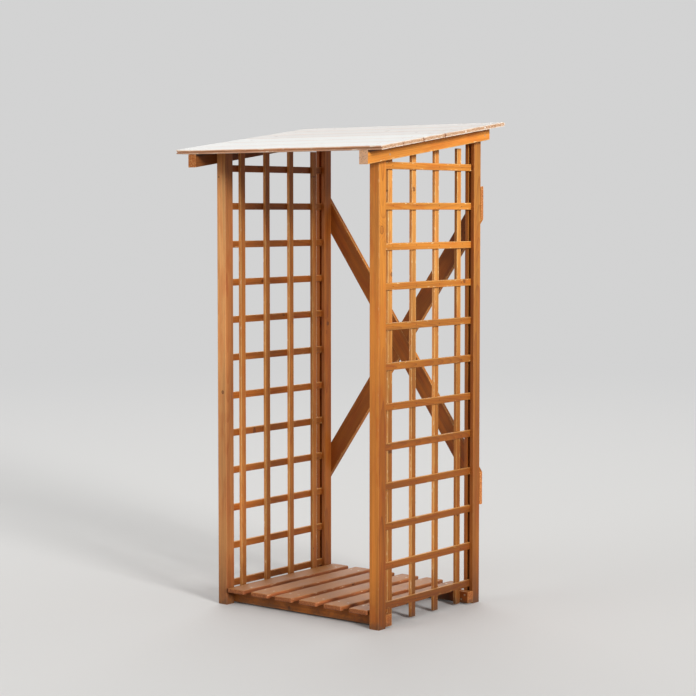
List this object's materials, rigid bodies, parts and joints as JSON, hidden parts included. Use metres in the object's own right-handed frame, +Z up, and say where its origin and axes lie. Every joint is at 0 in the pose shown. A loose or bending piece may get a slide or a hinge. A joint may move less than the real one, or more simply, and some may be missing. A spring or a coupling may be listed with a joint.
{
  "type": "log store",
  "caption": "Tall open-fronted log store of stained timber: trellis sides let into grooved posts, slatted floor, crossed back boards and a lean-to board roof.",
  "frame": {"origin": "on the ground, in the middle of the outline seen from above", "axes": "+X to the right seen from the open front, +Y from the open front to the back, +Z up"},
  "size_m": [1.01, 0.806, 1.9078],
  "materials": {
    "stained_timber": "honey-brown stained softwood, satin",
    "floor_timber": "red-brown stained softwood, satin",
    "bleached_roof_timber": "sun-bleached sawn softwood, matt"
  },
  "bodies": {
    "root": {"front_left_post": "stained_timber", "front_right_post": "stained_timber", "back_left_post": "stained_timber", "back_right_post": "stained_timber", "left_trellis": "stained_timber", "right_trellis": "stained_timber", "front_bearer": "stained_timber", "back_bearer": "stained_timber", "back_brace_rising_right": "stained_timber", "back_brace_rising_left": "stained_timber", "left_rafter": "stained_timber", "right_rafter": "stained_timber", "floor_slat_1": "floor_timber", "floor_slat_2": "floor_timber", "floor_slat_3": "floor_timber", "floor_slat_4": "floor_timber", "floor_slat_5": "floor_timber", "floor_slat_6": "floor_timber", "roof_board_1": "bleached_roof_timber", "roof_board_2": "bleached_roof_timber", "roof_board_3": "bleached_roof_timber", "roof_board_4": "bleached_roof_timber", "roof_board_5": "bleached_roof_timber", "roof_board_6": "bleached_roof_timber"}
  },
  "joints": []
}
